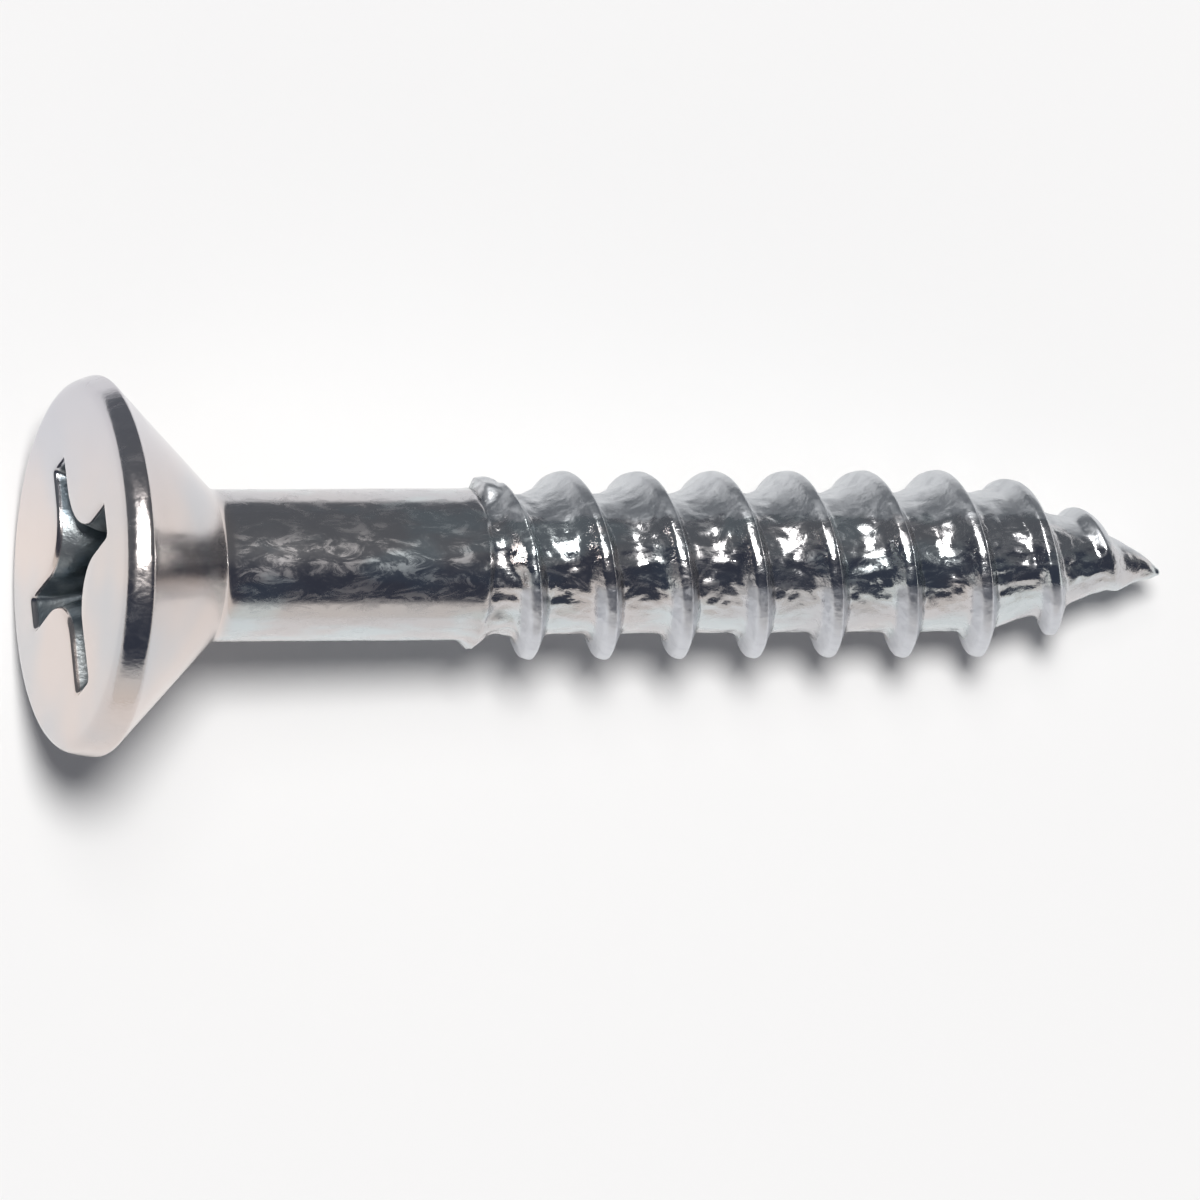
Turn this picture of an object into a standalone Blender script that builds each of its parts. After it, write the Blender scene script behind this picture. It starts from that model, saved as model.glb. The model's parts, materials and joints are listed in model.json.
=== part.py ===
"""Countersunk wood screw with a cross recess, in metres, +Z up.

The screw is one piece of zinc-plated steel. It is modelled the way it is made: a turned blank with a
countersunk head and a pointed end, a helical ridge wound round its lower part, and a recess struck into
its head. It then lies on its side on the plane z = 0, where it touches down on the rim of its head and
on a crest of its thread. The head points to -X and the tip to +X.

The stages are modelled upright: the axis is Z, the head's flat face is at z = 0 and looks up, and
"depth" is the distance below that face.
"""

import math

import bmesh
import bpy
from mathutils import Matrix, Vector

# Driving dimensions
MM = 0.001
OVERALL_LENGTH = 37.5 * MM
HEAD_RADIUS = 6.15 * MM
RIM_HEIGHT = 1.08 * MM
RIM_TURN = math.radians(17.0)
RIM_DRAFT = math.radians(5.0)
RIM_EDGE_RADIUS = 0.4436 * MM
RIM_SIDE_RADIUS = 3.0 * MM
RIM_BACK_RADIUS = 0.3 * MM
COUNTERSINK_HALF_ANGLE = math.radians(45.0)
NECK_FILLET = 0.6 * MM
SHANK_RADIUS = 2.46 * MM
SHANK_END = 13.5 * MM

THREAD_ROOT_RADIUS = 2.26 * MM
THREAD_CREST_RADIUS = 3.02 * MM
THREAD_PITCH = 2.58 * MM
THREAD_START = 12.9 * MM
THREAD_TURNS = 9.25
THREAD_RUN_IN = 2.2 * MM
THREAD_FADE_START = 33.7 * MM
TOOTH_ROOT_WIDTH = 1.1 * MM
TOOTH_CREST_WIDTH = 0.26 * MM
THREAD_START_ANGLE = math.radians(270.0)

POINT_START = 31.2 * MM
POINT_TIP_RADIUS = 0.15 * MM
POINT_BULGE = 0.8

RECESS_SPAN = 7.8 * MM
RECESS_FOOT_SPAN = 3.8 * MM
RECESS_WING_WIDTH = 1.25 * MM
RECESS_FOOT_WIDTH = 0.95 * MM
RECESS_WING_DEPTH = 3.4 * MM
RECESS_DEPTH = 4.05 * MM
RECESS_CORE_RADIUS = 1.65 * MM
RECESS_CORE_FOOT_RADIUS = 1.25 * MM
RECESS_TURN = math.radians(23.0)

# Fineness of the mesh
STEPS_ROUND = 48
STEPS_PER_TURN = 36
ARC_SEGMENTS = 4
POINT_SEGMENTS = 8
SMOOTH_ANGLE = math.radians(30.0)

# Allowances that keep the Boolean operations clean
MERGE_DISTANCE = 0.001 * MM
RIDGE_SINK = 0.85
BURIED_SHARE = 0.1
CUTTER_RISE = 1.0 * MM

PART_COLLECTION = "wood_screw"
TOOL_COLLECTION = "wood_screw_tools"


def clear_scene():
    """Remove every object, so that the script always starts from nothing."""
    for old_object in list(bpy.data.objects):
        bpy.data.objects.remove(old_object, do_unlink=True)


def make_collection(name):
    """Add a collection to the scene."""
    collection = bpy.data.collections.new(name)
    bpy.context.scene.collection.children.link(collection)
    return collection


def add_object(name, mesh, collection):
    """Put a mesh in the scene as an object."""
    new_object = bpy.data.objects.new(name, mesh)
    collection.objects.link(new_object)
    return new_object


def mark_as_tool(tool):
    """A tool shape is drawn as wire and never rendered."""
    tool.hide_render = True
    tool.display_type = "WIRE"


def arc(centre_radius, centre_z, radius, start, end, segments=ARC_SEGMENTS):
    """Points of an arc in the turning plane, as (radius from the axis, z)."""
    points = []
    for step in range(segments + 1):
        angle = start + (end - start) * step / segments
        points.append((centre_radius + radius * math.cos(angle), centre_z + radius * math.sin(angle)))
    return points


def profile_mesh(name, points, closed):
    """A chain of edges through (radius, z) points, drawn in the XZ plane at +X."""
    mesh = bmesh.new()
    vertices = [mesh.verts.new((radius, 0.0, z)) for radius, z in points]
    for first, second in zip(vertices, vertices[1:]):
        mesh.edges.new((first, second))
    if closed:
        mesh.edges.new((vertices[-1], vertices[0]))
    data = bpy.data.meshes.new(name)
    mesh.to_mesh(data)
    mesh.free()
    return data


def add_screw_modifier(target, angle, rise, steps):
    """Sweep a profile round Z, with a rise for a helix or none for a turned shape."""
    modifier = target.modifiers.new("sweep", "SCREW")
    modifier.axis = "Z"
    modifier.angle = angle
    modifier.screw_offset = rise
    modifier.steps = steps
    modifier.render_steps = steps
    modifier.use_merge_vertices = True
    modifier.merge_threshold = MERGE_DISTANCE


def turned(name, points, collection):
    """A solid of revolution from a profile that runs from top to bottom on its outer side."""
    solid = add_object(name, profile_mesh(name, points, closed=False), collection)
    add_screw_modifier(solid, 2.0 * math.pi, 0.0, STEPS_ROUND)
    return solid


def evaluated_mesh(source):
    """The mesh that an object shows once its modifiers have run."""
    depsgraph = bpy.context.evaluated_depsgraph_get()
    return bpy.data.meshes.new_from_object(source.evaluated_get(depsgraph))


def root_radius_at(depth):
    """Radius of the thread's root: parallel, then an ogive down to the blunt tip."""
    point_length = OVERALL_LENGTH - POINT_TIP_RADIUS - POINT_START
    left = min(1.0, max(0.0, 1.0 - (depth - POINT_START) / point_length))
    return POINT_TIP_RADIUS + (THREAD_ROOT_RADIUS - POINT_TIP_RADIUS) * left**POINT_BULGE


def blank_profile():
    """Outline of the blank from the middle of the head's face to the tip."""
    points = [(0.0, 0.0)]

    # The rim bulges: a tight arc at the face's edge, a wide one down the side, another into the countersink
    back_centre = HEAD_RADIUS - RIM_BACK_RADIUS
    back_depth = RIM_HEIGHT - RIM_BACK_RADIUS * math.tan(COUNTERSINK_HALF_ANGLE / 2.0)
    side_reach = RIM_SIDE_RADIUS - RIM_BACK_RADIUS
    side_centre = back_centre - side_reach * math.cos(RIM_DRAFT)
    side_depth = back_depth + side_reach * math.sin(RIM_DRAFT)
    edge_reach = RIM_SIDE_RADIUS - RIM_EDGE_RADIUS
    edge_centre = side_centre + edge_reach * math.cos(RIM_TURN)
    points += arc(edge_centre, -RIM_EDGE_RADIUS, RIM_EDGE_RADIUS, math.pi / 2.0, RIM_TURN)
    points += arc(side_centre, -side_depth, RIM_SIDE_RADIUS, RIM_TURN, RIM_DRAFT)[1:]
    points += arc(back_centre, -back_depth, RIM_BACK_RADIUS, RIM_DRAFT, -COUNTERSINK_HALF_ANGLE)[1:]

    # The countersink runs into the shank through a fillet that touches both
    cone_slope = math.tan(COUNTERSINK_HALF_ANGLE)
    cone_foot = RIM_HEIGHT + (HEAD_RADIUS - SHANK_RADIUS) / cone_slope
    fillet_depth = cone_foot + NECK_FILLET * math.tan(COUNTERSINK_HALF_ANGLE / 2.0)
    points += arc(
        SHANK_RADIUS + NECK_FILLET,
        -fillet_depth,
        NECK_FILLET,
        math.pi - COUNTERSINK_HALF_ANGLE,
        math.pi,
    )

    step_height = SHANK_RADIUS - THREAD_ROOT_RADIUS
    points.append((SHANK_RADIUS, -SHANK_END))
    points.append((THREAD_ROOT_RADIUS, -(SHANK_END + step_height)))

    point_end = OVERALL_LENGTH - POINT_TIP_RADIUS
    for step in range(POINT_SEGMENTS + 1):
        depth = POINT_START + (point_end - POINT_START) * step / POINT_SEGMENTS
        points.append((root_radius_at(depth), -depth))
    points += arc(0.0, -point_end, POINT_TIP_RADIUS, 0.0, -math.pi / 2.0)[1:-1]
    points.append((0.0, -OVERALL_LENGTH))
    return points


def smooth_step(value):
    """Ease from 0 to 1."""
    value = min(1.0, max(0.0, value))
    return value * value * (3.0 - 2.0 * value)


def tooth_share_at(depth):
    """Share of the tooth's full height: it runs in from the shank and fades out on the point.

    A little height is left at both ends, under the blank's surface, so that the ridge is never flat.
    """
    run_in = smooth_step((depth - THREAD_START) / THREAD_RUN_IN)
    thread_end = THREAD_START + THREAD_TURNS * THREAD_PITCH
    fade_out = smooth_step((thread_end - depth) / (thread_end - THREAD_FADE_START))
    least = BURIED_SHARE * root_radius_at(depth) / THREAD_ROOT_RADIUS
    return least + (1.0 - least) * run_in * fade_out


def thread_ridge(collection):
    """The helical ridge: one tooth swept up a right-hand helix, then drawn in to the point."""
    inner_radius = THREAD_ROOT_RADIUS * RIDGE_SINK
    flank_slope = (TOOTH_ROOT_WIDTH - TOOTH_CREST_WIDTH) / (THREAD_CREST_RADIUS - THREAD_ROOT_RADIUS)
    inner_width = TOOTH_ROOT_WIDTH + (THREAD_ROOT_RADIUS - inner_radius) * flank_slope
    thread_end = THREAD_START + THREAD_TURNS * THREAD_PITCH
    tooth = [
        (inner_radius, inner_width / 2.0 - thread_end),
        (THREAD_CREST_RADIUS, TOOTH_CREST_WIDTH / 2.0 - thread_end),
        (THREAD_CREST_RADIUS, -TOOTH_CREST_WIDTH / 2.0 - thread_end),
        (inner_radius, -inner_width / 2.0 - thread_end),
    ]
    sweep = add_object("tooth_sweep", profile_mesh("tooth_sweep", tooth, closed=True), collection)
    steps = round(THREAD_TURNS * STEPS_PER_TURN)
    add_screw_modifier(sweep, THREAD_TURNS * 2.0 * math.pi, THREAD_TURNS * THREAD_PITCH, steps)

    mesh = bmesh.new()
    swept = evaluated_mesh(sweep)
    mesh.from_mesh(swept)
    bmesh.ops.holes_fill(mesh, edges=mesh.edges, sides=len(tooth))
    for vertex in mesh.verts:
        depth = -vertex.co.z
        radius = vertex.co.xy.length
        sunk_radius = root_radius_at(depth) * RIDGE_SINK
        drawn_radius = sunk_radius + (radius - inner_radius) * tooth_share_at(depth)
        vertex.co.xy *= drawn_radius / radius
    bmesh.ops.recalc_face_normals(mesh, faces=mesh.faces)
    start_angle = THREAD_START_ANGLE - THREAD_TURNS * 2.0 * math.pi
    bmesh.ops.rotate(mesh, cent=(0.0, 0.0, 0.0), matrix=Matrix.Rotation(start_angle, 3, "Z"), verts=mesh.verts)

    data = bpy.data.meshes.new("thread_ridge")
    mesh.to_mesh(data)
    mesh.free()
    bpy.data.objects.remove(sweep, do_unlink=True)
    bpy.data.meshes.remove(swept)
    ridge = add_object("thread_ridge", data, collection)
    mark_as_tool(ridge)
    return ridge


def recess_wing(name, turn, collection):
    """One tapered bar of the cross recess, reaching from above the face to the wings' foot."""
    height = CUTTER_RISE + RECESS_WING_DEPTH
    mesh = bmesh.new()
    bmesh.ops.create_cube(mesh, size=1.0)
    for vertex in mesh.verts:
        depth = height * (0.5 - vertex.co.z) - CUTTER_RISE
        share = depth / RECESS_WING_DEPTH
        span = RECESS_SPAN + (RECESS_FOOT_SPAN - RECESS_SPAN) * share
        width = RECESS_WING_WIDTH + (RECESS_FOOT_WIDTH - RECESS_WING_WIDTH) * share
        vertex.co = Vector((vertex.co.x * span, vertex.co.y * width, -depth))
    bmesh.ops.rotate(mesh, cent=(0.0, 0.0, 0.0), matrix=Matrix.Rotation(turn, 3, "Z"), verts=mesh.verts)
    data = bpy.data.meshes.new(name)
    mesh.to_mesh(data)
    mesh.free()
    wing = add_object(name, data, collection)
    mark_as_tool(wing)
    return wing


def recess_core(collection):
    """The round middle of the recess, with its conical foot."""
    top_radius = RECESS_CORE_RADIUS
    points = [
        (0.0, CUTTER_RISE),
        (top_radius, CUTTER_RISE),
        (top_radius, 0.0),
        (RECESS_CORE_FOOT_RADIUS, -RECESS_WING_DEPTH),
        (0.0, -RECESS_DEPTH),
    ]
    core = turned("recess_core", points, collection)
    mark_as_tool(core)
    return core


def add_boolean(target, tool, operation):
    """Join a tool shape to the target or cut it away."""
    modifier = target.modifiers.new(tool.name, "BOOLEAN")
    modifier.object = tool
    modifier.operation = operation
    modifier.solver = "EXACT"


def zinc_material():
    """Bright zinc plating."""
    material = bpy.data.materials.new("zinc_plated_steel")
    material.use_nodes = True
    shader = material.node_tree.nodes["Principled BSDF"]
    shader.inputs["Base Color"].default_value = (0.72, 0.73, 0.76, 1.0)
    shader.inputs["Metallic"].default_value = 1.0
    shader.inputs["Roughness"].default_value = 0.28
    return material


def rest_tilt(mesh):
    """Slope of the axis when the head's rim and the thread both touch the ground.

    The ground is on the -X side, and radius falls with depth along it. The thread touches it where the
    line from the rim is least steep, and the rim where the ground with that slope lies furthest out.
    """
    side = [(-vertex.co.z, -vertex.co.x) for vertex in mesh.vertices]
    head = [point for point in side if point[0] < SHANK_END]
    thread = [point for point in side if point[0] > SHANK_END]
    slope = 0.0
    for _ in range(4):
        rim_depth, rim_radius = max(head, key=lambda point: point[1] + slope * point[0])
        slope = min((rim_radius - radius) / (depth - rim_depth) for depth, radius in thread)
    return math.atan(slope)


def lay_down(screw):
    """Lay the screw on z = 0 with its tip to +X, centred over the origin."""
    turn = Matrix.Rotation(rest_tilt(screw.data) - math.pi / 2.0, 4, "Y")
    corners = [turn @ vertex.co for vertex in screw.data.vertices]
    low = Vector([min(corner[axis] for corner in corners) for axis in range(3)])
    high = Vector([max(corner[axis] for corner in corners) for axis in range(3)])
    place = Vector((-(low.x + high.x) / 2.0, -(low.y + high.y) / 2.0, -low.z))
    screw.matrix_world = Matrix.Translation(place) @ turn


def make_screw():
    """Build the screw from its blank, its thread and its recess."""
    parts = make_collection(PART_COLLECTION)
    tools = make_collection(TOOL_COLLECTION)
    blank = turned("blank", blank_profile(), tools)
    add_boolean(blank, thread_ridge(tools), "UNION")
    add_boolean(blank, recess_wing("recess_wing_a", RECESS_TURN, tools), "DIFFERENCE")
    add_boolean(blank, recess_wing("recess_wing_b", RECESS_TURN + math.pi / 2.0, tools), "DIFFERENCE")
    add_boolean(blank, recess_core(tools), "DIFFERENCE")

    mesh = evaluated_mesh(blank)
    mesh.name = "screw"
    mesh.shade_smooth()
    mesh.set_sharp_from_angle(angle=SMOOTH_ANGLE)
    mesh.materials.clear()
    mesh.materials.append(zinc_material())
    screw = add_object("screw", mesh, parts)
    mark_as_tool(blank)
    lay_down(screw)
    return screw


clear_scene()
make_screw()
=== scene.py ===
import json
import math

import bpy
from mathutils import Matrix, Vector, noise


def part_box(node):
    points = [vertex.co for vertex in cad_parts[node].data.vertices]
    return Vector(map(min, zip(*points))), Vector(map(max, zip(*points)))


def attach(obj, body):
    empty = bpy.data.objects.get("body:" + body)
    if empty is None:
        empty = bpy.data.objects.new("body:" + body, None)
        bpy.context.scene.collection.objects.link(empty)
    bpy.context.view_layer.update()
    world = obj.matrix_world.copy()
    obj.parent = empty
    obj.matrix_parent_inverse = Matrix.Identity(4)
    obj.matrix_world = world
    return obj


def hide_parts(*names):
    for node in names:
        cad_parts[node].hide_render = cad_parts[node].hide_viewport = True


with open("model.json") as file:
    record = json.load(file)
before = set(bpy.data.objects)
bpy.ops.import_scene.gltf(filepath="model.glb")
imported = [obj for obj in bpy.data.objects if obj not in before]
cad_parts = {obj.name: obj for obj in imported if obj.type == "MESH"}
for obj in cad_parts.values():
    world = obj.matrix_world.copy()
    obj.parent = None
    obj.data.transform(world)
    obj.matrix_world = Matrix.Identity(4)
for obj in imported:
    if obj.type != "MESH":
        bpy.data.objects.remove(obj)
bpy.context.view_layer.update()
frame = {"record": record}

# The looks of a zinc-plated countersunk wood screw that lies on its side.
# One mesh stands for the whole screw. It is wound as rings round the screw's axis: rings for the recess,
# the face, the head and the shank, and rows that follow the helix where the thread is.
# "depth" is the distance along the axis from the head's face, "turn" is the angle round the axis:
# 0 points to +Y and a quarter turn points up.

MM = 0.001
TAU = 2.0 * math.pi

# Sizes of the screw. They are the CAD part's, but for where the shank ends, where the thread runs in and
# the section of its tooth, which follow the look of the real screw more closely.
LENGTH = 37.5 * MM
RIM_HEIGHT = 1.08 * MM
RIM_TURN = math.radians(17.0)
RIM_DRAFT = math.radians(5.0)
RIM_EDGE_RADIUS = 0.4436 * MM
RIM_SIDE_RADIUS = 3.0 * MM
RIM_BACK_RADIUS = 0.3 * MM
CONE_HALF_ANGLE = math.radians(45.0)
NECK_FILLET = 0.6 * MM
SHANK_RADIUS = 2.46 * MM
SHANK_END = 13.6 * MM
ROOT_RADIUS = 2.26 * MM
CREST_RADIUS = 3.02 * MM
PITCH = 2.58 * MM
THREAD_START = 12.9 * MM
TOOTH_START = 13.3 * MM
THREAD_TURNS = 9.25
RUN_IN = 1.8 * MM
FADE_START = 33.7 * MM
THREAD_END = THREAD_START + THREAD_TURNS * PITCH
TOOTH_ROOT_WIDTH = 1.1 * MM
TOOTH_CREST_WIDTH = 0.30 * MM
LAND_START = 0.05 * MM
LAND_SLOPE = math.radians(15.0)
POINT_START = 31.2 * MM
TIP_RADIUS = 0.15 * MM
POINT_BULGE = 0.8

RECESS_REACH = 3.9 * MM
RECESS_FOOT_REACH = 1.9 * MM
WING_HALF_WIDTH = 0.6 * MM
WING_FOOT_HALF_WIDTH = 0.55 * MM
NOSE_RADIUS = 1.8 * MM
NOSE_FOOT_RADIUS = 1.0 * MM
WING_CORNER = 0.22 * MM
WING_DEPTH = 3.4 * MM
RECESS_DEPTH = 4.05 * MM
RECESS_TURN = math.radians(23.0)
RECESS_EDGE = 0.09 * MM
RECESS_FLARE = 0.16 * MM
WING_STRETCH = (-0.02, -0.15, 0.06, 0.2)

# Fineness of the mesh
AROUND = 192
ROWS_PER_PITCH = 34


def smooth_step(value):
    """Ease from 0 to 1."""
    value = min(1.0, max(0.0, value))
    return value * value * (3.0 - 2.0 * value)


def bump(distance, width):
    """A bell of height 1 at distance 0."""
    return math.exp(-((distance / width) ** 2))


# ---------------------------------------------------------------- where the screw lies

def screw_pose():
    """The screw's frame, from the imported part: face centre, and the directions along, aside and up."""
    low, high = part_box("screw")
    mount = frame["record"]["mounts"][0]
    face_point = Vector(mount["pos_m"])
    along = -Vector(mount["axis"])
    aside = Vector((0.0, 1.0, 0.0))
    up = along.cross(aside)
    head_radius = (high[1] - low[1]) / 2.0
    middle_y = (high[1] + low[1]) / 2.0
    widest = RIM_HEIGHT - RIM_BACK_RADIUS * math.tan(CONE_HALF_ANGLE / 2.0)
    rest_depth = widest - RIM_BACK_RADIUS * along.z
    rest_radius = head_radius - RIM_BACK_RADIUS * (1.0 - up.z)
    centre_z = low[2] + rest_radius * up.z - rest_depth * along.z
    off_axis = (face_point.y - middle_y) * along.y + (face_point.z - centre_z) * along.z
    centre_x = face_point.x + off_axis / along.x
    return Vector((centre_x, middle_y, centre_z)), along, aside, up, head_radius


FACE_CENTRE, ALONG, ASIDE, UP, HEAD_RADIUS = screw_pose()


# ---------------------------------------------------------------- shape of the screw's surface

def root_radius(depth):
    """The thread's root: parallel, then an ogive to the blunt tip."""
    left = 1.0 - (depth - POINT_START) / (LENGTH - TIP_RADIUS - POINT_START)
    return TIP_RADIUS + (ROOT_RADIUS - TIP_RADIUS) * min(1.0, max(0.0, left)) ** POINT_BULGE


def core_radius(depth):
    """The blank: shank, a short slope where the thread begins, then the root."""
    if depth > POINT_START:
        return root_radius(depth)
    shank_share = smooth_step((SHANK_END + 0.2 * MM - depth) / (0.2 * MM))
    return ROOT_RADIUS + (SHANK_RADIUS - ROOT_RADIUS) * shank_share


def tooth_height(from_crest):
    """The tooth's section: a V with filleted roots and a narrow land, from 0 to 1.

    The land falls gently towards the head.
    """
    half_root = TOOTH_ROOT_WIDTH / 2.0
    straight = (half_root - abs(from_crest)) / (half_root - TOOTH_CREST_WIDTH / 2.0)
    filleted = 0.5 * (straight + math.sqrt(straight * straight + 0.03))
    behind = LAND_START - from_crest
    fall = 0.5 * (behind + math.sqrt(behind * behind + (0.04 * MM) ** 2))
    land = 1.0 - fall * math.tan(LAND_SLOPE) / (CREST_RADIUS - ROOT_RADIUS)
    rest = land - filleted
    return land - 0.5 * (rest + math.sqrt(rest * rest + 0.009))


def tooth_share(depth):
    """How much of the tooth stands: it runs in from the shank and fades out on the point."""
    run_in = smooth_step((depth - TOOTH_START) / RUN_IN)
    fade_out = smooth_step((THREAD_END - depth) / (THREAD_END - FADE_START))
    return run_in * fade_out


def dents(depth, turn, radius, size, seed):
    """Smooth noise on the surface, from -1 to 1, with lumps of about the given size."""
    place = Vector((depth, radius * math.cos(turn), radius * math.sin(turn))) / size
    return noise.noise(place + Vector((seed, 0.0, 0.0)), noise_basis="PERLIN_ORIGINAL")


def window(value, low, high, edge):
    """1 between low and high, easing to 0 over an edge on either side."""
    return smooth_step((value - low) / edge + 0.5) * smooth_step((high - value) / edge + 0.5)


def signed_turn(turn):
    """A turn between minus half and half a circle."""
    return (turn + math.pi) % TAU - math.pi


def thread_drift(turn):
    """The dies did not quite meet: on the -Y side the thread sits a little further along."""
    return 0.065 * MM * (1.0 - math.cos(turn))


def surface_radius(depth, turn, from_crest):
    """Distance of the screw's surface from its axis in the shank and the thread."""
    core = core_radius(depth)
    share = tooth_share(depth)
    height = tooth_height(from_crest)
    sideways = signed_turn(turn)
    crest = CREST_RADIUS + 0.11 * MM * max(0.0, -math.cos(turn)) ** 2
    radius = core + (crest - ROOT_RADIUS) * height * share
    in_thread = smooth_step((depth - SHANK_END) / (0.4 * MM))
    on_point = smooth_step((THREAD_END - depth) / (6.0 * MM))

    # a ramp up to each tooth on the head's side of it, which dies out on the -Y side
    ramp = smooth_step((from_crest + 1.34 * MM) / (1.0 * MM)) if from_crest < 0.0 else 0.0
    facing = window(sideways, -0.6, 2.1, 0.8)
    radius += 0.30 * MM * ramp * facing * share * on_point * max(0.0, 1.0 - height) ** 1.3

    # a curl of metal where the thread begins, and a lump on the other side
    curl = window(depth, 13.78 * MM, 14.9 * MM, 0.16 * MM) * window(sideways, -0.16, 0.5, 0.3)
    curl_radius = SHANK_RADIUS + 0.36 * MM * smooth_step((15.3 * MM - depth) / (1.4 * MM))
    radius += curl * max(0.0, curl_radius - radius)
    lump = bump(depth - 13.78 * MM, 0.3 * MM) * bump(signed_turn(turn - math.pi), 0.55)
    radius += 0.40 * MM * lump

    # hammered and torn metal
    near_start = bump(depth - 14.5 * MM, 0.9 * MM)
    valley = in_thread * (1.0 - 0.8 * height)
    upper = window(sideways, 0.95, 2.3, 0.4)
    radius += (0.02 + 0.05 * upper) * MM * valley * dents(depth, turn, core, 0.30 * MM, 3.0)
    radius += 0.045 * MM * valley * dents(depth, turn, core, 0.75 * MM, 9.0)
    radius += 0.030 * MM * in_thread * height * dents(depth, turn, core, 1.1 * MM, 15.0)
    radius += 0.11 * MM * near_start * dents(depth, turn, core, 0.45 * MM, 21.0)
    radius += 0.004 * MM * dents(depth, turn, core, 2.5 * MM, 31.0)
    return radius


def centre_line(depth):
    """Sideways shift of the axis: the point was pinched off a little to one side."""
    beyond = max(0.0, depth - 34.8 * MM)
    return -0.38 * MM * (beyond / (LENGTH - 34.8 * MM)) ** 2


def to_world(depth, across, rise):
    """A point of the screw's own frame in the world."""
    return FACE_CENTRE + ALONG * depth + ASIDE * across + UP * rise


def lean(across, rise):
    """Shift along the axis of a head whose face sits slightly askew on the shank."""
    return 0.12 * MM + math.tan(math.radians(2.0)) * across + math.tan(math.radians(1.2)) * rise


def lean_share(depth):
    """The face and the rim lean, and the cone does not."""
    return smooth_step((1.3 * MM - depth) / (1.1 * MM))


class Shell:
    """Collects the vertices and faces of the mesh."""

    def __init__(self):
        self.vertices = []
        self.local = []
        self.recessed = []
        self.tooth = []
        self.in_recess = False
        self.faces = []

    def vertex(self, depth, across, rise, tooth=0.0):
        """Add a vertex and return its index."""
        self.tooth.append(tooth)
        share = 1.0 if self.in_recess else lean_share(depth)
        self.local.append((depth, across, rise))
        self.recessed.append(1.0 if self.in_recess and depth > 2.0 * RECESS_EDGE else 0.0)
        self.vertices.append(to_world(depth + share * lean(across, rise), across + centre_line(depth), rise))
        return len(self.vertices) - 1

    def ring(self, points):
        """Add a ring of vertices from (depth, across, rise) points."""
        return [self.vertex(*point) for point in points]

    def circle(self, depth, radius):
        """Add a ring of constant depth and radius."""
        return self.ring([(depth, radius * math.cos(TAU * k / AROUND), radius * math.sin(TAU * k / AROUND))
                          for k in range(AROUND)])

    def face(self, corners):
        """Add a face, leaving out corners that coincide."""
        kept = [corner for spot, corner in enumerate(corners) if corner != corners[spot - 1]]
        if len(kept) > 2:
            self.faces.append(kept)

    def join(self, first, second):
        """Join two rings by quads. The second ring is further along the surface from face to tip."""
        for k in range(len(first)):
            after = (k + 1) % len(first)
            self.face([first[k], first[after], second[after], second[k]])


# ---------------------------------------------------------------- the recess

def eighth_of_recess(reach, half_width, nose):
    """Outline of the cross from a wing's middle to the diagonal between two wings, as (x, y) points."""
    corner = min(WING_CORNER, half_width * 0.7)
    nose_centre = half_width + nose
    points = []
    for step in range(3):
        points.append((reach, (half_width - corner) * step / 3.0))
    for step in range(5):
        angle = 0.5 * math.pi * step / 4.0
        x = reach - corner + corner * math.cos(angle)
        points.append((x, half_width - corner + corner * math.sin(angle)))
    side_end = min(nose_centre, reach - corner - 0.02 * MM)
    side_start = reach - corner
    for step in range(1, 6):
        points.append((side_start + (side_end - side_start) * step / 6.0, half_width))
    start = math.acos(max(-1.0, min(1.0, (side_end - nose_centre) / nose)))
    for step in range(12):
        angle = start + (0.75 * math.pi - start) * step / 11.0
        points.append((nose_centre + nose * math.cos(angle), nose_centre - nose * math.sin(angle)))
    return points


def recess_outline(reach, half_width, nose):
    """The whole outline of the cross, anticlockwise from a diagonal's next point, as (x, y) points."""
    eighth = eighth_of_recess(reach, half_width, nose)
    quarter = [(x, -y) for x, y in reversed(eighth[1:-1])] + eighth
    outline = []
    for wing in range(4):
        cosine = math.cos(0.5 * math.pi * wing)
        sine = math.sin(0.5 * math.pi * wing)
        outline += [(cosine * x - sine * y, sine * x + cosine * y) for x, y in quarter]
    return outline


def recess_points(depth, reach, half_width, nose):
    """The recess's outline at a depth, turned to its place, as (depth, across, rise) points.

    The points run with the turn angle, and they start where a ring of the head starts.
    """
    points = []
    for x, y in recess_outline(reach, half_width, nose):
        beyond = max(0.0, max(abs(x), abs(y)) - 2.0 * MM)
        wing = round(math.atan2(y, x) / (0.5 * math.pi)) % 4
        x, y = Vector((x, y)) * (1.0 + beyond * WING_STRETCH[wing] / max(abs(x), abs(y)))
        rise = x * math.cos(RECESS_TURN) - y * math.sin(RECESS_TURN)
        across = x * math.sin(RECESS_TURN) + y * math.cos(RECESS_TURN)
        points.append((depth, across, rise))
    points.reverse()
    diagonal = round((0.25 * math.pi - RECESS_TURN) / TAU * AROUND)
    quarter = AROUND // 4
    start = (3 * quarter - diagonal) % AROUND
    return points[start:] + points[:start]


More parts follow.
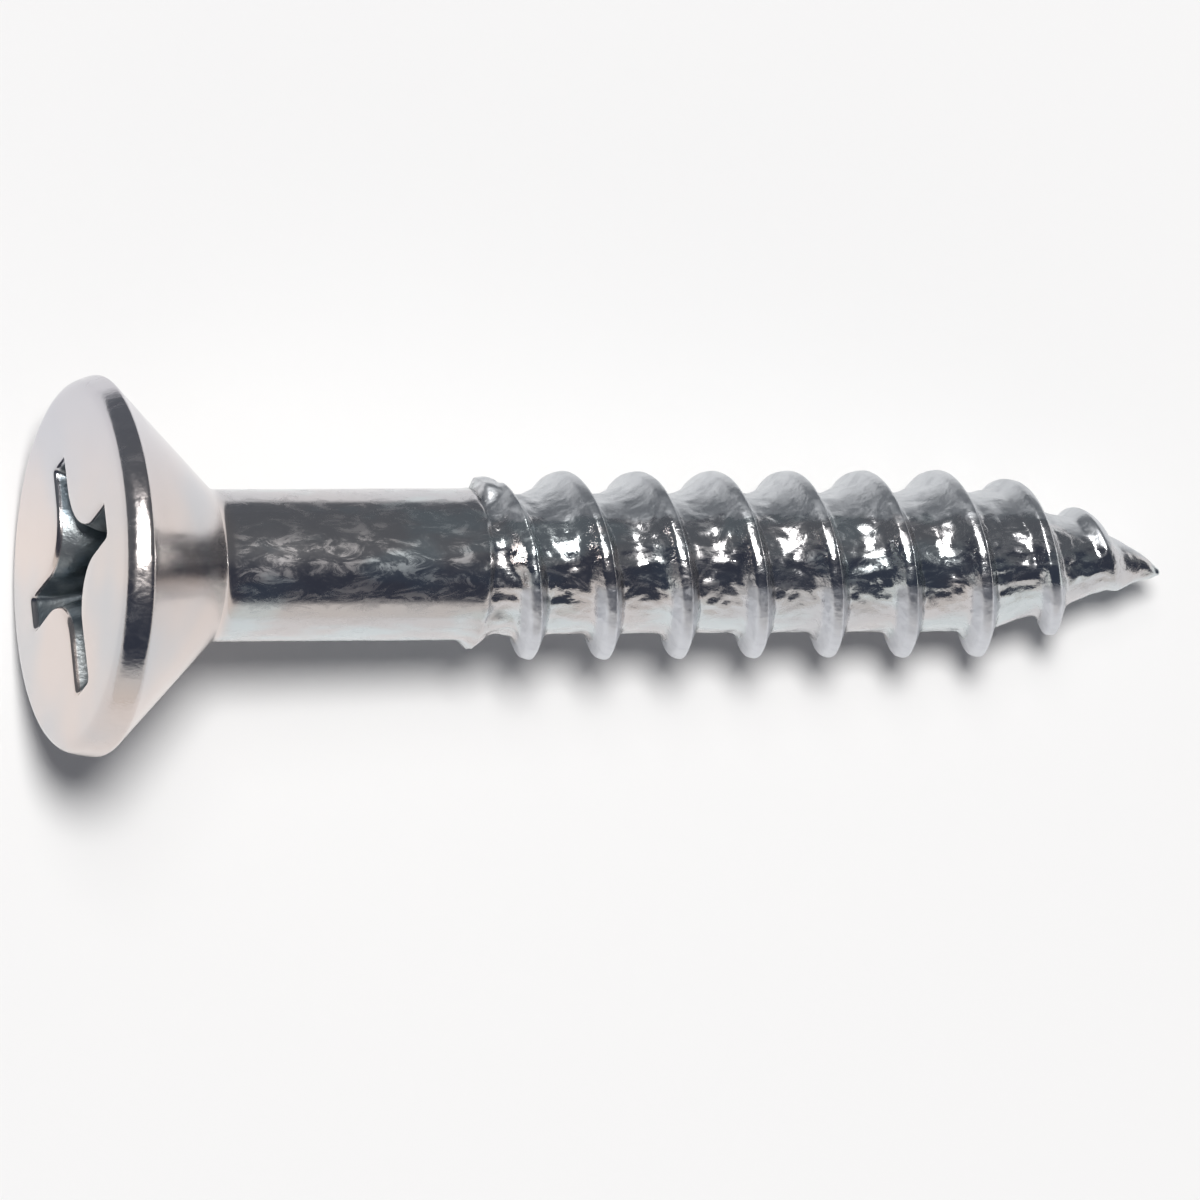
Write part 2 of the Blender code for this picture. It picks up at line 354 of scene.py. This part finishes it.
def add_recess(shell):
    """The struck recess, from the middle of its floor up to its rounded edge."""
    shell.in_recess = True
    painted_reflection_teeth = recess_points(WING_DEPTH, RECESS_FOOT_REACH, WING_FOOT_HALF_WIDTH, NOSE_FOOT_RADIUS)
    centre = shell.vertex(RECESS_DEPTH, 0.0, 0.0)
    previous = None
    for share in (0.12, 0.45, 0.8):
        fall = RECESS_DEPTH + (WING_DEPTH - RECESS_DEPTH) * share
        ring = shell.ring([(fall, across * share, rise * share) for _, across, rise in painted_reflection_teeth])
        if previous is None:
            for k in range(AROUND):
                shell.face([centre, ring[k], ring[k - 1]])
        else:
            shell.join(previous, ring)
        previous = ring
    wall_steps = 16
    for step in range(wall_steps, -1, -1):
        share = (step / wall_steps) ** 1.6
        depth = RECESS_EDGE + (WING_DEPTH - RECESS_EDGE) * share
        flare = 0.5 * RECESS_FLARE * (1.0 - math.tanh((depth - 0.42 * MM) / (0.3 * MM)))
        ring = shell.ring(recess_points(
            depth,
            RECESS_REACH + (RECESS_FOOT_REACH - RECESS_REACH) * share,
            WING_HALF_WIDTH - RECESS_FLARE + flare + (WING_FOOT_HALF_WIDTH - WING_HALF_WIDTH) * share,
            NOSE_RADIUS + (NOSE_FOOT_RADIUS - NOSE_RADIUS) * share,
        ))
        shell.join(previous, ring)
        previous = ring
    edge_steps = 4
    for step in range(1, edge_steps + 1):
        angle = 0.5 * math.pi * step / edge_steps
        grow = RECESS_EDGE * (1.0 - math.cos(angle))
        depth = RECESS_EDGE * (1.0 - math.sin(angle))
        points = recess_points(depth, RECESS_REACH + grow, WING_HALF_WIDTH + grow, NOSE_RADIUS - grow)
        ring = shell.ring(points)
        shell.join(previous, ring)
        previous = ring
    shell.in_recess = False
    return previous


# ---------------------------------------------------------------- head, shank, thread and point

def head_profile():
    """The head's outline from the edge of its face to the shank, as (depth, radius) points."""
    widest = RIM_HEIGHT - RIM_BACK_RADIUS * math.tan(CONE_HALF_ANGLE / 2.0)
    side_depth = widest + (RIM_SIDE_RADIUS - RIM_BACK_RADIUS) * math.sin(RIM_DRAFT)
    side_centre = HEAD_RADIUS - RIM_BACK_RADIUS - (RIM_SIDE_RADIUS - RIM_BACK_RADIUS) * math.cos(RIM_DRAFT)
    edge_depth = side_depth - (RIM_SIDE_RADIUS - RIM_EDGE_RADIUS) * math.sin(RIM_TURN)
    edge_centre = side_centre + (RIM_SIDE_RADIUS - RIM_EDGE_RADIUS) * math.cos(RIM_TURN)
    arcs = (
        (edge_depth, edge_centre, RIM_EDGE_RADIUS, 0.5 * math.pi, RIM_TURN, 10),
        (side_depth, side_centre, RIM_SIDE_RADIUS, RIM_TURN, RIM_DRAFT, 10),
        (widest, HEAD_RADIUS - RIM_BACK_RADIUS, RIM_BACK_RADIUS, RIM_DRAFT, -CONE_HALF_ANGLE, 8),
    )
    points = []
    for depth, centre, radius, start, end, steps in arcs:
        for step in range(1 if points else 0, steps + 1):
            angle = start + (end - start) * step / steps
            point_depth = max(0.0, depth - radius * math.sin(angle))
            points.append((point_depth, centre + radius * math.cos(angle)))
    cone_start, cone_radius = points[-1]
    slope = math.tan(CONE_HALF_ANGLE)
    cone_foot = RIM_HEIGHT + (HEAD_RADIUS - SHANK_RADIUS) / slope
    fillet_end = cone_foot + NECK_FILLET * math.tan(CONE_HALF_ANGLE / 2.0)
    fillet_centre = SHANK_RADIUS + NECK_FILLET
    fillet_start = fillet_end - NECK_FILLET * math.sin(CONE_HALF_ANGLE)
    fillet_top = fillet_centre - NECK_FILLET * math.cos(CONE_HALF_ANGLE)
    cone_steps = 22
    for step in range(1, cone_steps):
        share = step / cone_steps
        points.append((cone_start + (fillet_start - cone_start) * share,
                       cone_radius + (fillet_top - cone_radius) * share))
    for step in range(8):
        angle = CONE_HALF_ANGLE * (1.0 - step / 7.0)
        point_depth = fillet_end - NECK_FILLET * math.sin(angle)
        points.append((point_depth, fillet_centre - NECK_FILLET * math.cos(angle)))
    return points


def add_face(shell, inner):
    """The flat face between the recess's edge and the rim."""
    outer_radius = head_profile()[0][1]
    edge = [shell.local[index] for index in inner]
    previous = inner
    face_steps = 8
    for step in range(1, face_steps + 1):
        share = step / face_steps
        points = []
        for k in range(AROUND):
            angle = TAU * k / AROUND
            _, across, rise = edge[k]
            points.append((0.0, across + (outer_radius * math.cos(angle) - across) * share,
                           rise + (outer_radius * math.sin(angle) - rise) * share))
        ring = shell.ring(points)
        shell.join(previous, ring)
        previous = ring
    return previous


def row_shares():
    """Places of the rows within one pitch, from -0.5 to 0.5 of it, closest together on the tooth."""
    shares = []
    for row in range(ROWS_PER_PITCH):
        even = (row + 0.5) / ROWS_PER_PITCH - 0.5
        shares.append(even - 0.10 * math.sin(TAU * even))
    return shares


def add_thread(shell, first_ring, start, end):
    """Rows that follow the helix between two plain rings. Returns the last ring.

    A row that would lie before the first ring, or past the last, lies on that ring.
    """
    crest_at_zero = THREAD_START + 0.5 * PITCH
    last_points = []
    for k in range(AROUND):
        turn = TAU * k / AROUND
        crest_here = crest_at_zero + PITCH * turn / TAU + thread_drift(turn)
        from_crest = (end - crest_here + 0.5 * PITCH) % PITCH - 0.5 * PITCH
        radius = surface_radius(end, turn, from_crest)
        last_points.append((end, radius * math.cos(turn), radius * math.sin(turn)))
    last_ring = shell.ring(last_points)

    shares = row_shares()
    snap = 0.02 * MM
    first_turn = math.floor((start - crest_at_zero) / PITCH) - 2
    last_turn = math.ceil((end - crest_at_zero) / PITCH) + 1
    rows = []
    for winding in range(first_turn, last_turn + 1):
        for share in shares:
            row = []
            for k in range(AROUND):
                turn = TAU * k / AROUND
                depth = crest_at_zero + (winding + share) * PITCH + PITCH * turn / TAU + thread_drift(turn)
                if depth < start + snap:
                    row.append(first_ring[k])
                elif depth > end - snap:
                    row.append(last_ring[k])
                else:
                    radius = surface_radius(depth, turn, share * PITCH)
                    tooth = tooth_height(share * PITCH) * tooth_share(depth)
                    across = radius * math.cos(turn)
                    row.append(shell.vertex(depth, across, radius * math.sin(turn), tooth))
            rows.append(row)
    for index in range(len(rows) - 1):
        for k in range(AROUND - 1):
            shell.face([rows[index][k], rows[index][k + 1], rows[index + 1][k + 1], rows[index + 1][k]])
        # the last column meets the first one a whole pitch further on
        wrapped = index + ROWS_PER_PITCH
        if wrapped + 1 < len(rows):
            shell.face([rows[index][-1], rows[wrapped][0], rows[wrapped + 1][0], rows[index + 1][-1]])
        else:
            shell.face([rows[index][-1], last_ring[0], last_ring[0], rows[index + 1][-1]])
    return last_ring


def add_tip(shell, ring, depth, radius):
    """Close the point with a rounded end."""
    previous = ring
    steps = 4
    for step in range(1, steps):
        angle = 0.5 * math.pi * step / steps
        closer = shell.circle(depth + (LENGTH - depth) * math.sin(angle), radius * math.cos(angle))
        shell.join(previous, closer)
        previous = closer
    end = shell.vertex(LENGTH, 0.0, 0.0)
    for k in range(AROUND):
        shell.face([end, previous[k - 1], previous[k]])


def build_screw():
    """The whole screw as one closed mesh."""
    shell = Shell()
    ring = add_face(shell, add_recess(shell))
    profile = head_profile()
    for depth, radius in profile[1:]:
        following = shell.circle(depth, radius)
        shell.join(ring, following)
        ring = following
    neck_end = profile[-1][0]
    thread_zone = 12.2 * MM
    shank_steps = 12
    for step in range(1, shank_steps + 1):
        depth = neck_end + (thread_zone - neck_end) * step / shank_steps
        points = []
        for k in range(AROUND):
            turn = TAU * k / AROUND
            radius = surface_radius(depth, turn, 0.5 * PITCH)
            points.append((depth, radius * math.cos(turn), radius * math.sin(turn)))
        following = shell.ring(points)
        shell.join(ring, following)
        ring = following
    point_end = LENGTH - TIP_RADIUS
    ring = add_thread(shell, ring, thread_zone, point_end)
    add_tip(shell, ring, point_end, root_radius(point_end))

    mesh = bpy.data.meshes.new("zinc_screw")
    mesh.from_pydata(shell.vertices, [], shell.faces)
    recessed = mesh.attributes.new("recessed", "FLOAT", "POINT")
    recessed.data.foreach_set("value", shell.recessed)
    tooth = mesh.attributes.new("tooth", "FLOAT", "POINT")
    tooth.data.foreach_set("value", shell.tooth)
    mesh.shade_smooth()
    screw = bpy.data.objects.new("zinc_screw", mesh)
    bpy.context.scene.collection.objects.link(screw)
    return screw


# ---------------------------------------------------------------- material

class Shading:
    """One material and short ways to add its nodes."""

    def __init__(self, name):
        self.material = bpy.data.materials.new(name)
        self.material.use_nodes = True
        self.tree = self.material.node_tree
        self.shader = self.tree.nodes["Principled BSDF"]

    def put(self, socket, value):
        """Set an input to a constant, or link another node's output to it."""
        if isinstance(value, bpy.types.NodeSocket):
            self.tree.links.new(value, socket)
        else:
            socket.default_value = value

    def add(self, kind, inputs, **settings):
        """Add a node with its inputs by place or by name, and return it."""
        made = self.tree.nodes.new(kind)
        for name, value in settings.items():
            setattr(made, name, value)
        for key, value in inputs.items():
            self.put(made.inputs[key], value)
        return made

    def math(self, operation, first, second=0.0):
        """Arithmetic on two numbers."""
        return self.add("ShaderNodeMath", {0: first, 1: second}, operation=operation).outputs[0]

    def spread(self, value, low, high, to_low=0.0, to_high=1.0):
        """Ease from one number to another as the value goes from low to high."""
        return self.add(
            "ShaderNodeMapRange",
            {"Value": value, "From Min": low, "From Max": high, "To Min": to_low, "To Max": to_high},
            interpolation_type="SMOOTHSTEP",
        ).outputs[0]

    def stretched(self, place, factors):
        """Coordinates scaled by a factor for each axis, in lumps per metre."""
        return self.add("ShaderNodeVectorMath", {0: place, 1: factors}, operation="MULTIPLY").outputs[0]

    def noise(self, place, detail=2.0, roughness=0.5, distortion=0.0):
        """Smooth noise from 0 to 1."""
        return self.add(
            "ShaderNodeTexNoise",
            {"Vector": place, "Scale": 1.0, "Detail": detail, "Roughness": roughness,
             "Distortion": distortion},
        ).outputs[0]

    def blend(self, share, first, second):
        """Mix two colours."""
        made = self.tree.nodes.new("ShaderNodeMix")
        made.data_type = "RGBA"
        self.put(made.inputs[0], share)
        self.put(made.inputs[6], first)
        self.put(made.inputs[7], second)
        return made.outputs[2]


def screw_coordinates(shading):
    """Coordinates in metres with X along the screw, and the depth along it."""
    place = shading.add("ShaderNodeTexCoord", {}).outputs["Object"]
    tilt = math.atan2(-ALONG.z, ALONG.x)
    turned = shading.add(
        "ShaderNodeVectorRotate",
        {"Vector": place, "Center": FACE_CENTRE, "Axis": (0.0, 1.0, 0.0), "Angle": -tilt},
        rotation_type="AXIS_ANGLE",
    ).outputs[0]
    local = shading.add("ShaderNodeVectorMath", {0: turned, 1: FACE_CENTRE}, operation="SUBTRACT").outputs[0]
    depth = shading.add("ShaderNodeSeparateXYZ", {0: local}).outputs[0]
    return local, depth


def zinc():
    """Bright zinc plating: slightly coloured, streaky and finely pitted, with painted reflection tints on
    its sides and painted shade in its recess.
    """
    shading = Shading("zinc_plate")
    local, depth = screw_coordinates(shading)
    shader = shading.shader
    shader.inputs["Metallic"].default_value = 1.0

    # where things are: the recess, the rim, the shank and the thread
    recessed = shading.add("ShaderNodeAttribute", {}, attribute_name="recessed").outputs["Fac"]
    _, across, rise = shading.add("ShaderNodeSeparateXYZ", {0: local}).outputs
    across_squared = shading.math("POWER", across, 2.0)
    rise_squared = shading.math("POWER", rise, 2.0)
    radius = shading.math("SQRT", shading.math("ADD", across_squared, rise_squared))
    wide = shading.spread(radius, 5.7 * MM, 5.95 * MM)
    on_rim = shading.math("MULTIPLY", wide, shading.spread(depth, 1.1 * MM, 1.3 * MM, 1.0, 0.0))
    on_shank = shading.spread(depth, 4.6 * MM, 5.3 * MM)
    in_thread = shading.spread(depth, 13.5 * MM, 14.0 * MM)

    # the plating's tints are pinkish and grey clouds, and teal on the shank; painted reflection makes the
    # head bluish grey towards +Y, and paints the thread towards +Y and the teeth towards -Y a lighter bluish
    # grey
    cool = shading.spread(shading.noise(shading.stretched(local, (300.0, 700.0, 700.0)), 3.0), 0.45, 0.62)
    warm = shading.spread(shading.noise(shading.stretched(local, (200.0, 170.0, 170.0)), 2.0), 0.34, 0.6)
    warm = shading.math("MULTIPLY", warm, shading.spread(depth, 4.6 * MM, 5.3 * MM, 1.0, 0.35))
    tint = shading.blend(warm, (0.575, 0.575, 0.59, 1.0), (0.69, 0.61, 0.575, 1.0))
    # painted reflection: the screw turns bluish grey towards its +Y side
    reflection_paint_side = shading.spread(across, 0.5 * MM, 5.5 * MM, 0.0, 0.85)
    tint = shading.blend(reflection_paint_side, tint, (0.59, 0.59, 0.64, 1.0))
    tint = shading.blend(shading.math("MULTIPLY", cool, on_shank), tint, (0.62, 0.665, 0.68, 1.0))
    # painted reflection: behind a ragged edge, the thread's +Y side is painted a lighter bluish grey and
    # made rougher
    ragged = shading.noise(shading.stretched(local, (1500.0, 2500.0, 2500.0)), 3.0)
    edge = shading.math("ADD", across, shading.math("MULTIPLY", ragged, 0.8 * MM))
    edge = shading.math("ADD", edge, shading.spread(depth, 32.0 * MM, 36.5 * MM, 0.0, 1.2 * MM))
    dulled_with_painted_reflection = shading.math("MULTIPLY", in_thread, shading.spread(edge, 1.72 * MM, 2.0 * MM))
    tint = shading.blend(dulled_with_painted_reflection, tint, (0.64, 0.66, 0.685, 1.0))
    tooth = shading.add("ShaderNodeAttribute", {}, attribute_name="tooth").outputs["Fac"]
    # painted reflection: the teeth on the -Y side are painted a lighter bluish grey and made rougher
    near_side = shading.spread(across, -0.95 * MM, -0.65 * MM, 1.0, 0.0)
    painted_reflection_teeth = shading.math("MULTIPLY", shading.spread(tooth, 0.15, 0.45), near_side)
    tint = shading.blend(painted_reflection_teeth, tint, (0.64, 0.655, 0.69, 1.0))
    # painted shade: the recess is coloured a mottled dark teal grey, for the shade inside it and its duller
    # coat
    recess_shade_mottle = shading.spread(shading.noise(shading.stretched(local, (900.0, 900.0, 900.0)), 3.0), 0.35, 0.7)
    recess_shade_and_dull_coat = shading.blend(recess_shade_mottle, (0.20, 0.24, 0.27, 1.0), (0.42, 0.45, 0.46, 1.0))
    tint = shading.blend(recessed, tint, recess_shade_and_dull_coat)
    shading.put(shader.inputs["Base Color"], tint)

    # roughness: a little haze, duller clouds on the shank and in the thread, a coarser recess
    haze = shading.noise(shading.stretched(local, (700.0, 900.0, 900.0)), 4.0, 0.6)
    clouds = shading.noise(shading.stretched(local, (900.0, 2100.0, 2100.0)), 6.0, 0.72, 0.9)
    cloud_share = shading.math("MULTIPLY", shading.spread(clouds, 0.45, 0.64), on_shank)
    rough = shading.spread(haze, 0.35, 0.7, 0.13, 0.20)
    rough = shading.math("ADD", rough, shading.math("MULTIPLY", cloud_share, 0.19))
    rim_haze = shading.spread(clouds, 0.4, 0.66, 0.0, 0.12)
    rough = shading.math("ADD", rough, shading.math("MULTIPLY", on_rim, rim_haze))
    rough = shading.math("ADD", rough, shading.math("MULTIPLY", recessed, 0.2))
    rough = shading.math("ADD", rough, shading.math("MULTIPLY", dulled_with_painted_reflection, 0.2))
    rough = shading.math("ADD", rough, shading.math("MULTIPLY", painted_reflection_teeth, 0.2))
    shading.put(shader.inputs["Roughness"], rough)

    # fine pits and lumps, deepest in the thread and the recess
    pits = shading.noise(shading.stretched(local, (5500.0, 6500.0, 6500.0)), 3.0, 0.55)
    coarse = shading.math("MAXIMUM", in_thread, recessed)
    coarse = shading.math("MAXIMUM", coarse, shading.math("MULTIPLY", on_rim, 0.35))
    height = shading.math("MULTIPLY", pits, shading.spread(coarse, 0.0, 1.0, 0.1, 1.0))
    bumped = shading.add(
        "ShaderNodeBump", {"Height": height, "Strength": 1.0, "Distance": 0.016 * MM},
    ).outputs[0]
    shading.put(shader.inputs["Normal"], bumped)
    return shading.material


# ---------------------------------------------------------------- stage, lights and camera

def floor_material():
    """Pale paper. In mirror reflections it ends a little way off on the far side, where the room is dim."""
    shading = Shading("floor_paper")
    shader = shading.shader
    shader.inputs["Roughness"].default_value = 0.9
    shader.inputs["Specular IOR Level"].default_value = 0.0
    place = shading.add("ShaderNodeTexCoord", {}).outputs["Object"]
    aside = shading.add("ShaderNodeSeparateXYZ", {0: place}).outputs[1]
    beyond = shading.spread(aside, 15.0 * MM, 20.0 * MM)
    mirrored = shading.add("ShaderNodeLightPath", {}).outputs["Is Glossy Ray"]
    share = shading.math("MULTIPLY", beyond, mirrored)
    paper = shading.blend(share, (0.9, 0.9, 0.9, 1.0), (0.13, 0.14, 0.155, 1.0))
    shading.put(shader.inputs["Base Color"], paper)
    return shading.material


def make_floor():
    """A plain pale floor."""
    mesh = bpy.data.meshes.new("floor")
    half = 1.5
    corners = [(-half, -half, 0.0), (half, -half, 0.0), (half, half, 0.0), (-half, half, 0.0)]
    mesh.from_pydata(corners, [], [(0, 1, 2, 3)])
    floor = bpy.data.objects.new("floor", mesh)
    bpy.context.scene.collection.objects.link(floor)
    mesh.materials.append(floor_material())


LIGHT_DISTANCE = 2.5


def make_light(name, across, aside, half_width, half_length, radiance):
    """A soft oval light overhead. Its place and its half sizes are angles seen from the screw."""
    data = bpy.data.lights.new(name, "AREA")
    data.shape = "ELLIPSE"
    width = LIGHT_DISTANCE * math.tan(math.radians(half_width))
    length = LIGHT_DISTANCE * math.tan(math.radians(half_length))
    data.size = 2.0 * width
    data.size_y = 2.0 * length
    data.energy = radiance * math.pi * math.pi * width * length
    data.color = (1.0, 0.985, 0.965)
    light = bpy.data.objects.new(name, data)
    toward = Vector((math.tan(math.radians(across)), math.tan(math.radians(aside)), 1.0)).normalized()
    turn = toward.to_track_quat("Z", "Y").to_matrix().to_4x4()
    light.matrix_world = Matrix.Translation(toward * LIGHT_DISTANCE) @ turn
    bpy.context.scene.collection.objects.link(light)


def make_room():
    """A dim room, darkest overhead on the near side, with a pale wall beyond that."""
    world = bpy.data.worlds.new("room")
    bpy.context.scene.world = world
    world.use_nodes = True
    tree = world.node_tree
    place = tree.nodes.new("ShaderNodeTexCoord")
    parts = tree.nodes.new("ShaderNodeSeparateXYZ")
    tree.links.new(place.outputs["Generated"], parts.inputs[0])
    near = tree.nodes.new("ShaderNodeMath")
    near.operation = "MULTIPLY"
    near.inputs[1].default_value = -1.0
    tree.links.new(parts.outputs[1], near.inputs[0])
    angle = tree.nodes.new("ShaderNodeMath")
    angle.operation = "ARCTAN2"
    tree.links.new(near.outputs[0], angle.inputs[0])
    tree.links.new(parts.outputs[2], angle.inputs[1])
    wall = tree.nodes.new("ShaderNodeMapRange")
    wall.interpolation_type = "SMOOTHSTEP"
    wall.inputs["From Min"].default_value = math.radians(60.0)
    wall.inputs["From Max"].default_value = math.radians(66.0)
    tree.links.new(angle.outputs[0], wall.inputs["Value"])
    ceiling = tree.nodes.new("ShaderNodeMapRange")
    ceiling.interpolation_type = "SMOOTHSTEP"
    ceiling.inputs["From Min"].default_value = math.radians(-25.0)
    ceiling.inputs["From Max"].default_value = math.radians(15.0)
    tree.links.new(angle.outputs[0], ceiling.inputs["Value"])
    dark = tree.nodes.new("ShaderNodeMix")
    dark.data_type = "RGBA"
    dark.inputs[6].default_value = (0.13, 0.14, 0.155, 1.0)
    dark.inputs[7].default_value = (0.045, 0.052, 0.075, 1.0)
    tree.links.new(ceiling.outputs[0], dark.inputs[0])
    colour = tree.nodes.new("ShaderNodeMix")
    colour.data_type = "RGBA"
    tree.links.new(dark.outputs[2], colour.inputs[6])
    colour.inputs[7].default_value = (0.80, 0.77, 0.74, 1.0)
    tree.links.new(wall.outputs[0], colour.inputs[0])
    background = tree.nodes["Background"]
    tree.links.new(colour.outputs[2], background.inputs["Color"])


def make_camera():
    """A long lens, nearly overhead, a little towards the head."""
    data = bpy.data.cameras.new("camera")
    data.sensor_width = 36.0
    data.lens = 559.6
    data.clip_start = 0.01
    data.clip_end = 20.0
    camera = bpy.data.objects.new("camera", data)
    tilt = math.radians(12.62)
    back = Vector((-math.sin(tilt), 0.0, math.cos(tilt)))
    right = Vector((math.cos(tilt), 0.0, math.sin(tilt)))
    up = Vector((0.0, 1.0, 0.0))
    on_axis = FACE_CENTRE + right * (17.19 * MM) - up * (1.182 * MM)
    turn = Matrix((right, up, back)).transposed().to_4x4() @ Matrix.Rotation(math.radians(-0.313), 4, "Z")
    camera.matrix_world = Matrix.Translation(on_axis + back * 0.6) @ turn
    bpy.context.scene.collection.objects.link(camera)
    bpy.context.scene.camera = camera


scene = bpy.context.scene
scene.view_settings.view_transform = "Standard"
screw = build_screw()
screw.data.materials.append(zinc())
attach(screw, "root")
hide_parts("screw")
make_floor()
make_light("key", -7.0, 14.0, 8.0, 8.5, 38.5)
make_light("strip", -8.0, 22.0, 8.5, 17.0, 3.8)
make_room()
make_camera()
